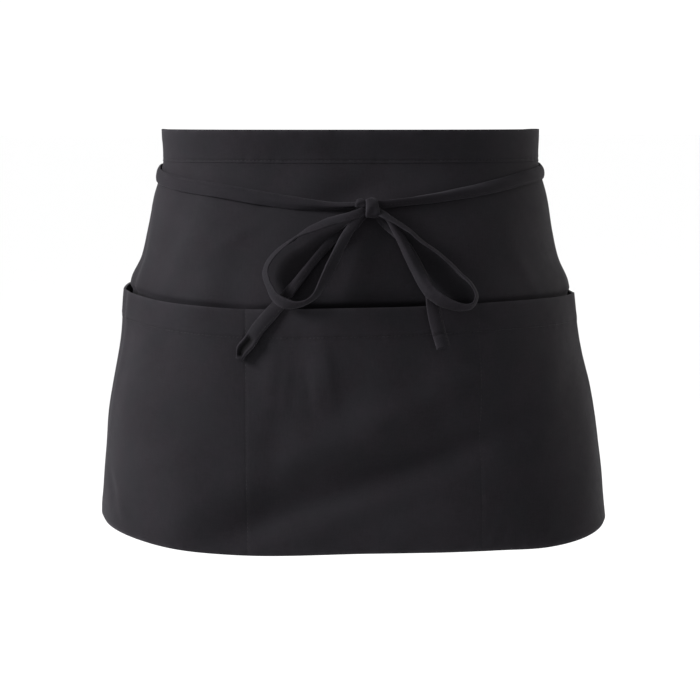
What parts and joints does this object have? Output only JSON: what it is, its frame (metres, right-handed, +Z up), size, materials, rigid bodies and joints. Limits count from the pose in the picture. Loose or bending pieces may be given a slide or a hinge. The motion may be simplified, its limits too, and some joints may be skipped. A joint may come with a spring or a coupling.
{
  "type": "waist apron",
  "caption": "Short waist apron in its worn form: curved skirt with rounded lower corners, a pocket panel stitched into pockets, and ties that cross behind and end in a bow in front.",
  "frame": {"origin": "middle of the waist that the apron goes round, at half the height of the waistband", "axes": "+Z up, the front of the apron faces -Y, +X to the right of someone who looks at the front"},
  "size_m": [0.381, 0.2337, 0.2993],
  "materials": {
    "panel_cloth": "matt black plain-dyed twill with a faint sheen",
    "strap_cloth": "matt black folded and stitched cloth strap"
  },
  "bodies": {
    "root": {"waistband": "panel_cloth", "skirt_panel": "panel_cloth", "pocket_panel": "panel_cloth", "tie_left": "strap_cloth", "tie_right": "strap_cloth", "bow_knot": "strap_cloth", "bow_loop_left": "strap_cloth", "bow_loop_right": "strap_cloth", "tail_left": "strap_cloth", "tail_right": "strap_cloth"}
  },
  "joints": []
}
